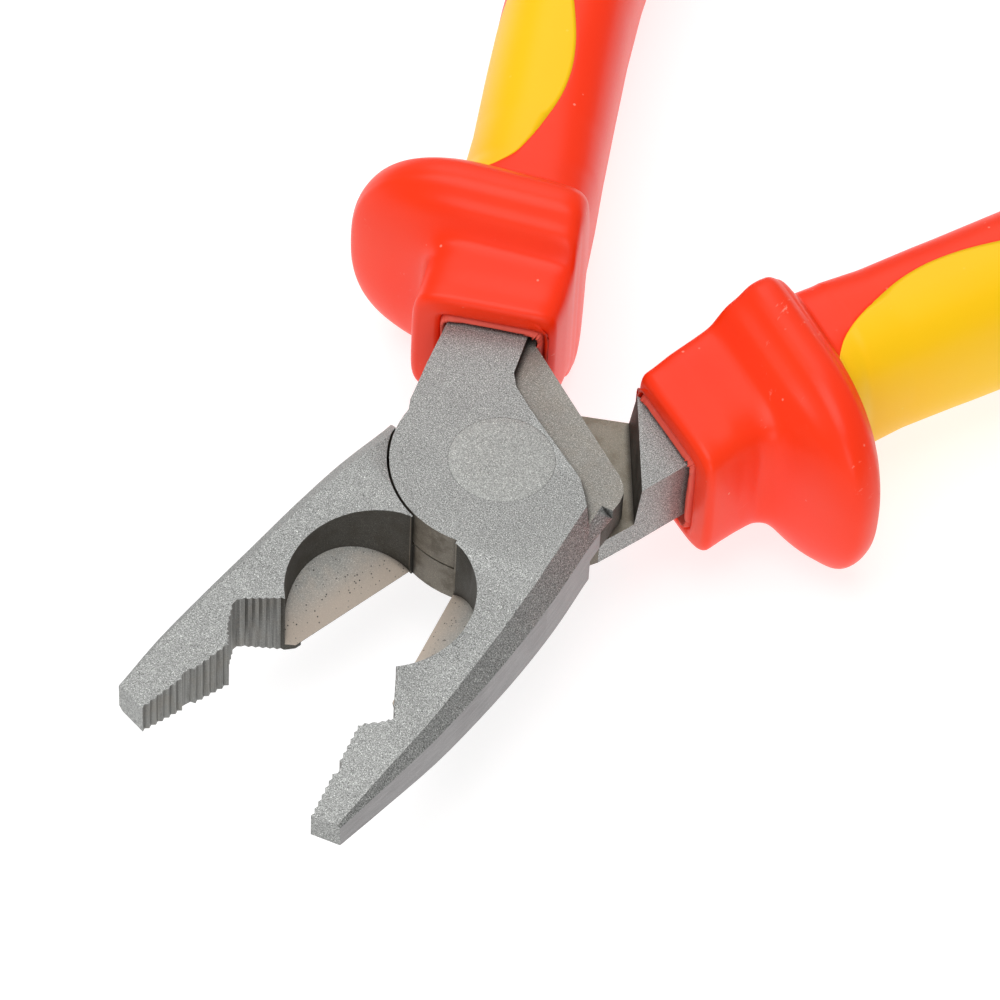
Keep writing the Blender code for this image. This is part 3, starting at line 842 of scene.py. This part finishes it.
    def inside_inlays(self, points: Array) -> Array:
        """How far a surface point lies inside an inlay's outline.

        Args:
            points: points on the outer surface.

        Returns:
            The distance in millimetres for each point, below 0 outside.
        """
        y = points[..., 1]
        reach = self.reach(points)
        up = np.abs(points[..., 2])
        edge = reach - curve_at(self.front_edge, y)
        split = np.where(y > self.wedge[0][0], up - curve_at(self.wedge, y), self.end)
        first = np.minimum(np.minimum(edge, split), np.minimum(y - self.front_start, self.front_end - y))
        middle = (self.at("inner", y) + self.at("outer", y)) / 2
        beside = (reach > middle) & (y > self.leaf[0][0]) & (y < self.leaf[-1][0])
        second = np.where(beside, curve_at(self.leaf, y) - up, -1.0)
        return np.maximum(first, second)

    def mouth(self, grow: float, y: float, jagged: float = 0.0, seed: int = 1) -> Array:
        """A ring of the opening in the collar: a box with round corners round the shank.

        Args:
            grow: how far it stands off the shank.
            y: where it lies along the shank.
            jagged: how much its front edge wanders.
            seed: the seed of that wandering.

        Returns:
            One ring of points.
        """
        angle = np.linspace(0, 2 * np.pi, self.columns, endpoint=False)
        cos, sin = np.cos(angle), np.sin(angle)
        across = (self.shank + grow) * np.sign(cos) * np.abs(cos) ** self.squareness
        up = (HALF_HEAD + grow) * np.sign(sin) * np.abs(sin) ** self.squareness
        knots = np.random.default_rng(seed).uniform(-1, 1, 60) ** 3
        wander = np.interp(angle, np.linspace(0, 2 * np.pi, len(knots)), knots) * jagged
        middle = self.shank_middle + self.shank_drift * (y - 17.0)
        return np.stack([-(middle + across), y - self.shank_slant * across + wander, up], axis=-1)

    def sleeve(self) -> bpy.types.Object:
        """The red sleeve: closed bore, mouth, rounded lip, outer surface with recesses, domed end.

        Returns:
            The piece.
        """
        outer = np.stack([self.ring(y) for y in self.rows()])
        sink = ease(self.inside_inlays(outer), 0.05, 0.75) * self.recess
        outer = outer - normals_of(outer) * sink[..., None]
        front = self.table["y"][0]
        turned_in = np.stack([
            self.mouth(self.bore_gap, self.bore_end), self.mouth(self.bore_gap, self.bore_front),
            self.mouth(self.bore_gap, front + 0.6), self.mouth(1.05, front + 0.1),
            self.mouth(1.5, front - 0.05),
        ])
        grid = np.concatenate([turned_in, outer])
        poles = [self.surface(np.array(self.end), np.array(0.0)), turned_in[0].mean(axis=0)]
        points = np.concatenate([grid.reshape(-1, 3), poles])
        faces = grid_faces(len(grid), self.columns, True).tolist()
        faces += fan_faces((len(grid) - 1) * self.columns, self.columns, len(points) - 2)
        faces += fan_faces(0, self.columns, len(points) - 1)
        piece = object_of(self.side.label + "_grip", self.side.place(points), faces)
        outward(piece)
        return piece

    def patch(self, name: str, grids: list[Array]) -> bpy.types.Object:
        """An inlay's skin from grids of (y, angle) pairs, given a wall inwards.

        Args:
            name: the piece's name.
            grids: one array of (y, angle) by row and column for each sheet.

        Returns:
            The piece.
        """
        # how far round, in radians, and along, in millimetres, the slopes are taken
        small_turn, small_step = 0.004, 0.02
        points, faces, start = [], [], 0
        for grid in grids:
            y, angle = grid[..., 0], grid[..., 1]
            sheet = self.surface(y, angle)
            around = self.surface(y, angle + small_turn) - sheet
            along = self.surface(y + small_step, angle) - sheet
            normal = np.cross(along, around)
            normal /= np.maximum(np.linalg.norm(normal, axis=-1, keepdims=True), 1e-12)
            centre = (self.surface(y, np.full(y.shape, np.pi)) + self.surface(y, np.zeros(y.shape))) / 2
            sign = np.sign(((sheet - centre) * normal).sum(-1, keepdims=True))
            sheet = sheet + normal * sign * self.proud
            points.append(sheet.reshape(-1, 3))
            faces += grid_faces(*grid.shape[:2], False, start).tolist()
            start += grid.shape[0] * grid.shape[1]
        piece = object_of(name, self.side.place(np.concatenate(points)), faces)
        work = bmesh.new()
        work.from_mesh(piece.data)
        bmesh.ops.remove_doubles(work, verts=work.verts, dist=MERGE)
        bmesh.ops.dissolve_degenerate(work, edges=work.edges, dist=MERGE / 2)
        bmesh.ops.recalc_face_normals(work, faces=work.faces)
        inside = (-20.0 + float(self.bend_at(np.array(60.0))), 60.0, 0.0)
        centre = Vector(self.side.place(np.array(inside)))
        face = max(work.faces, key=lambda f: f.calc_area())
        if (face.calc_center_median() - centre).dot(face.normal) < 0:
            bmesh.ops.reverse_faces(work, faces=work.faces)
        work.to_mesh(piece.data)
        work.free()
        wall = piece.modifiers.new("Wall", "SOLIDIFY")
        wall.thickness = self.skin * MM
        wall.offset = -1
        return piece

    def crossing(self, y: Array, test: Callable[[Array], Array]) -> Array:
        """The angle, from the outer side over the top, where a test turns from yes to no.

        Args:
            y: distances along the handle.
            test: a number that is above 0 inside, for an array of surface points.

        Returns:
            One angle for each y.
        """
        angle = np.linspace(0.0, np.pi * 0.97, 900)
        value = test(self.surface(y[:, None], angle[None, :]))
        below = value < 0
        first = np.where(below.any(axis=1), below.argmax(axis=1), len(angle) - 1)
        before = np.maximum(first - 1, 0)
        row = np.arange(len(y))
        high, low = value[row, before], value[row, first]
        share = np.clip(high / np.maximum(high - low, 1e-9), 0, 1)
        return np.where(first == 0, 0.0, angle[before] + share * (angle[first] - angle[before]))

    def front_inlay(self) -> bpy.types.Object:
        """The yellow skin behind the guard, with the two leaves it runs out in.

        Returns:
            The piece.
        """

        def beyond(points: Array) -> Array:
            """How far outside the face's edge a point lies."""
            return self.reach(points) - curve_at(self.front_edge, points[..., 1])

        def under(points: Array) -> Array:
            """How far below the wedge's edge a point lies."""
            return curve_at(self.wedge, points[..., 1]) - np.abs(points[..., 2])

        split, columns = self.wedge[0][0] + 2.0, 40
        y = np.arange(self.front_start, split + 0.01, 0.35)
        edge = self.crossing(y, beyond)
        share = np.linspace(-1, 1, 2 * columns + 1)
        body = np.stack([np.repeat(y[:, None], len(share), 1), edge[:, None] * share[None, :]], axis=-1)
        y = np.linspace(y[-1], self.front_end - 4.0, 90)
        high = self.crossing(y, beyond)
        low = np.minimum(np.where(y > split, self.crossing(y, under), 0.0), high)
        share = np.linspace(0, 1, columns + 1)
        leaf = low[:, None] + (high - low)[:, None] * share[None, :]
        closed = np.argmax((high - low) < 1e-3) or len(y)
        up = np.stack([np.repeat(y[:, None], len(share), 1), leaf], axis=-1)[:closed]
        down = np.stack([up[..., 0], -up[..., 1]], axis=-1)
        return self.patch(self.side.label + "_front_inlay_skin", [body, up, down])

    def rear_inlay(self) -> bpy.types.Object:
        """The yellow leaf along the handle's outer side.

        Returns:
            The piece.
        """

        def within(points: Array) -> Array:
            """How far inside the leaf a point lies."""
            return curve_at(self.leaf, points[..., 1]) - np.abs(points[..., 2])

        first, last = self.leaf[0][0] + 0.3, self.leaf[-1][0] - 0.3
        y = first + (last - first) * (1 - np.cos(np.linspace(0, np.pi, 170))) / 2
        edge = np.maximum(self.crossing(y, within), 1e-4)
        share = np.linspace(-1, 1, 49)
        grid = np.stack([np.repeat(y[:, None], len(share), 1), edge[:, None] * share[None, :]], axis=-1)
        return self.patch(self.side.label + "_rear_inlay_skin", [grid])

    def lining(self) -> bpy.types.Object:
        """The inner layer, whose ragged front edge shows round the shank.

        Returns:
            The piece.
        """
        grid = np.stack([
            self.mouth(0.35, self.bore_end), self.mouth(0.32, self.bore_front),
            self.mouth(0.30, 17.0, 0.4, 3), self.mouth(0.52, 16.95, 0.4, 4), self.mouth(0.8, 17.7),
            self.mouth(0.8, self.bore_end),
        ])
        # the last ring closes on the first, so both directions of the grid wrap round
        faces = grid_faces(len(grid) + 1, self.columns, True) % (len(grid) * self.columns)
        piece = object_of(self.side.label + "_lining", self.side.place(grid), faces.tolist())
        outward(piece)
        return piece

    def build(self) -> None:
        """Makes and dresses the handle's pieces."""
        label = self.side.label
        give(self.sleeve(), self.side, RED, label + "_sleeve")
        give(self.front_inlay(), self.side, YELLOW, label + "_front_inlay")
        give(self.rear_inlay(), self.side, YELLOW, label + "_rear_inlay")
        give(self.lining(), self.side, LINING, label + "_liner")


# ---------------------------------------------------------------- the steel


class Face(IntEnum):
    """The kinds of face on a forging, by their place in its finishes."""

    OPEN = 0
    BACK = 1
    TEETH = 2
    POCKET = 3
    BEVEL = 4
    LAP = 5
    PANEL = 6
    WALL = 7
    RIM = 8


@dataclass
class Forging:
    """One steel half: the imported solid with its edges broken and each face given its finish."""

    side: Side
    node: str
    source: bpy.types.Object
    edge_break: float = 0.16
    sharp: float = math.radians(28)
    finishes: tuple[SteelFinish, ...] = (BLASTED, GROUND, TEETH, POCKET, CUTTER, LAP, PANEL, SHADED, RIM)
    # the cutter's pocket and the round head: middles and radii
    pocket_middle: tuple[float, float] = (-4.45, -22.4)
    pocket_reach: float = 10.6
    head_radius: float = 13.0
    # limits in the half's layout that tell one kind of face from another: x and y, and z for
    # the gap's walls; bands of z for the panel's walls and floor; and how far back (y) and how
    # far from the pivot those walls start
    back_from: tuple[float, float] = (3.2, -3.0)
    teeth_within: tuple[float, float] = (5.2, -30.9)
    pocket_from: tuple[float, float] = (-0.3, -12.5)
    gap_from: tuple[float, float, float] = (-4.0, -1.5, 4.0)
    step_from: float = 5.0
    panel_walls: tuple[float, float] = (4.4, 5.35)
    panel_floor: tuple[float, float] = (3.9, 4.7)
    panel_from: tuple[float, float] = (-8.0, 7.0)

    def sort(self, centre: Array, normal: Array, world_up: Array) -> Array:
        """Which finish each face has.

        Args:
            centre: face centres in the half's layout.
            normal: face normals in the half's layout.
            world_up: how much each face looks up in the world.

        Returns:
            The finish's place in `finishes`, for each face.
        """
        x, y, z = centre.T
        right, rear, up = normal.T
        upright = np.abs(up) < 0.25
        in_pocket = np.hypot(x - self.pocket_middle[0], y - self.pocket_middle[1]) < self.pocket_reach
        on_rim = np.abs(np.hypot(x, y) - self.head_radius) < 0.5
        back = upright & (right > 0.5) & (x > self.back_from[0]) & (y < self.back_from[1])
        toothed = (x < self.teeth_within[0]) & (y < self.teeth_within[1]) & (rear > -0.97)
        pocket = upright & in_pocket & (x > self.pocket_from[0]) & (y < self.pocket_from[1])
        beside_gap = (x > self.gap_from[0]) & (y > self.gap_from[1]) & (z < self.gap_from[2])
        shank_step = upright & (rear < -0.6) & (y > self.step_from)
        panel_wall = (z > self.panel_walls[0]) & (z < self.panel_walls[1]) & (y > self.panel_from[0])
        panel = (z > self.panel_floor[0]) & (z < self.panel_floor[1]) & (y > self.panel_from[0] - 1)
        kind = np.full(len(x), int(Face.OPEN))
        for face, there in (
            (Face.BACK, back),
            (Face.TEETH, upright & (right < 0.3) & toothed),
            (Face.POCKET, pocket),
            (Face.BEVEL, (world_up > 0.3) & (world_up < 0.95) & in_pocket),
            (Face.LAP, (np.abs(z) < 0.4) & (np.abs(up) > 0.9)),
            (Face.RIM, upright & on_rim),
            (Face.WALL, upright & beside_gap & (right > 0) & (rear > -0.3)),
            (Face.WALL, shank_step),
            (Face.WALL, upright & panel_wall & (np.hypot(x, y) > self.panel_from[1])),
            (Face.PANEL, (up > 0.9) & panel),
        ):
            kind[there] = face
        return kind

    def build(self) -> None:
        """Copies the solid, joins its triangles into faces, sorts them and breaks the edges."""
        mesh = self.source.data.copy()
        mesh.name = self.node + "_forging"
        work = bmesh.new()
        work.from_mesh(mesh)
        bmesh.ops.remove_doubles(work, verts=work.verts, dist=MERGE)
        flat = math.radians(0.6)
        bmesh.ops.dissolve_limit(work, angle_limit=flat, verts=work.verts, edges=work.edges, delimit=set())
        work.to_mesh(mesh)
        work.free()
        count = len(mesh.polygons)
        centre, normal = np.empty(count * 3), np.empty(count * 3)
        mesh.polygons.foreach_get("center", centre)
        mesh.polygons.foreach_get("normal", normal)
        centre, normal = centre.reshape(-1, 3), normal.reshape(-1, 3)
        layout_normal = self.side.unplace(centre + normal * MM) - self.side.unplace(centre)
        kind = self.sort(self.side.unplace(centre), layout_normal, normal[:, 2])
        mesh.materials.clear()
        for finish in self.finishes:
            mesh.materials.append(MATERIALS.get(finish))
        mesh.polygons.foreach_set("material_index", kind.astype(np.int32))
        mesh.polygons.foreach_set("use_smooth", np.ones(count, bool))
        mesh.set_sharp_from_angle(angle=self.sharp)
        piece = bpy.data.objects.new(self.node + "_forging", mesh)
        bpy.context.scene.collection.objects.link(piece)
        bevel = piece.modifiers.new("Edges", "BEVEL")
        bevel.width = self.edge_break * MM
        bevel.segments = 2
        bevel.limit_method = "ANGLE"
        bevel.angle_limit = self.sharp
        bevel.harden_normals = True
        give(piece, self.side, BLASTED, self.node)


@dataclass
class Rivet:
    """The pivot rivet: a profile turned about Z, its crowns just proud of both faces."""

    # radius and height from the head's middle, for the upper half of the profile
    profile: Pairs = (
        (3.3, 0.0), (3.3, 3.6), (3.45, 3.72), (6.1, 3.72), (6.165, 3.8), (6.165, 5.36), (6.14, 5.40),
        (6.0, 5.42), (5.0, 5.44), (3.0, 5.45), (1.0, 5.45),
    )
    columns: int = 128

    def build(self) -> None:
        """Turns the profile, closes its two poles and dresses it."""
        half = np.array(self.profile)
        line = np.concatenate([half[:0:-1] * (1, -1), half])
        angle = np.linspace(0, 2 * np.pi, self.columns, endpoint=False)
        radius, height = line[:, :1], np.repeat(line[:, 1:], self.columns, 1)
        grid = np.stack([radius * np.cos(angle), radius * np.sin(angle), height + HALF_HEAD], axis=-1) * MM
        count = len(line) * self.columns
        crown = self.profile[-1][1]
        poles = np.array([[0, 0, HALF_HEAD - crown], [0, 0, HALF_HEAD + crown]]) * MM
        points = np.concatenate([grid.reshape(-1, 3), poles])
        faces = grid_faces(len(line), self.columns, True).tolist()
        faces += fan_faces(0, self.columns, count) + fan_faces(count - self.columns, self.columns, count + 1)
        piece = object_of("rivet", points, faces)
        outward(piece)
        piece.data.set_sharp_from_angle(angle=math.radians(40))
        give(piece, Side.LEFT, RIVET, "pivot_rivet")


# ---------------------------------------------------------------- the studio


@dataclass
class Studio:
    """A white floor, soft lights and the camera."""

    eye: tuple[float, float, float] = (0.24154, -0.35619, 0.54347)
    right: tuple[float, float, float] = (0.8028895, 0.5951831, 0.0335488)
    back: tuple[float, float, float] = (0.3496982, -0.5158190, 0.7820754)
    lens: float = 216.0
    sensor: float = 36.0
    floor_height: float = -0.0100
    floor_reach: float = 4.0
    floor_glow: float = 0.75
    # name, place in metres, size and power in watts
    lamps: tuple[tuple[str, tuple[float, float, float], float, float], ...] = (
        ("key", (-0.15, -0.2, 1.25), 1.1, 10.0),
        ("fill", (0.6, -1.0, 0.6), 0.7, 3.2),
        ("back", (-0.6, 0.7, 0.9), 0.7, 2.5),
    )
    sky: float = 0.38

    def floor(self) -> None:
        """A wide pale floor under the tool, which glows a little to stay white."""
        corners = np.array([[-1, -1, 0], [1, -1, 0], [1, 1, 0], [-1, 1, 0]]) * self.floor_reach
        piece = object_of("floor", corners + (0, 0, self.floor_height), [[0, 1, 2, 3]])
        kit = NodeKit("floor_white")
        kit.set(Base_Color=(0.4, 0.4, 0.4), Roughness=0.9)
        kit.set(Emission_Color=(1.0, 1.0, 1.0), Emission_Strength=self.floor_glow)
        piece.data.materials.append(kit.material)

    def light(self, name: str, place: tuple[float, float, float], size: float, power: float) -> None:
        """A square area light that looks at the pivot.

        Args:
            name: its name.
            place: where it hangs, in metres.
            size: its side, in metres.
            power: its power, in watts.
        """
        lamp = bpy.data.lights.new(name, "AREA")
        lamp.size = size
        lamp.energy = power
        made = bpy.data.objects.new(name, lamp)
        made.location = place
        made.rotation_euler = (-Vector(place)).to_track_quat("-Z", "Y").to_euler()
        bpy.context.scene.collection.objects.link(made)

    def camera(self) -> None:
        """The camera, with no shift and no depth of field."""
        lens = bpy.data.cameras.new("camera")
        lens.lens = self.lens
        lens.sensor_width = self.sensor
        lens.clip_start = 0.01
        made = bpy.data.objects.new("camera", lens)
        right, back = Vector(self.right), Vector(self.back)
        aim = Matrix((right, back.cross(right), back)).transposed().to_4x4()
        made.matrix_world = Matrix.Translation(self.eye) @ aim
        bpy.context.scene.collection.objects.link(made)
        bpy.context.scene.camera = made

    def build(self) -> None:
        """Sets up the floor, lights, world and camera."""
        self.floor()
        for lamp in self.lamps:
            self.light(*lamp)
        world = bpy.data.worlds.new("studio")
        world.use_nodes = True
        sky = world.node_tree.nodes["Background"].inputs
        sky["Color"].default_value = (1, 1, 1, 1)
        sky["Strength"].default_value = self.sky
        bpy.context.scene.world = world
        bpy.context.scene.view_settings.view_transform = "Standard"
        self.camera()


def main() -> None:
    """Builds the pliers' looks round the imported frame."""
    logging.basicConfig(level=logging.INFO, format="%(name)s: %(message)s")
    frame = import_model()
    Forging(Side.LEFT, "upper_half", frame["nodes"]["upper_half"]).build()
    Forging(Side.RIGHT, "lower_half", frame["nodes"]["lower_half"]).build()
    Rivet().build()
    for side in Side:
        Grip(side).build()
    Studio().build()


if __name__ == "__main__":
    main()
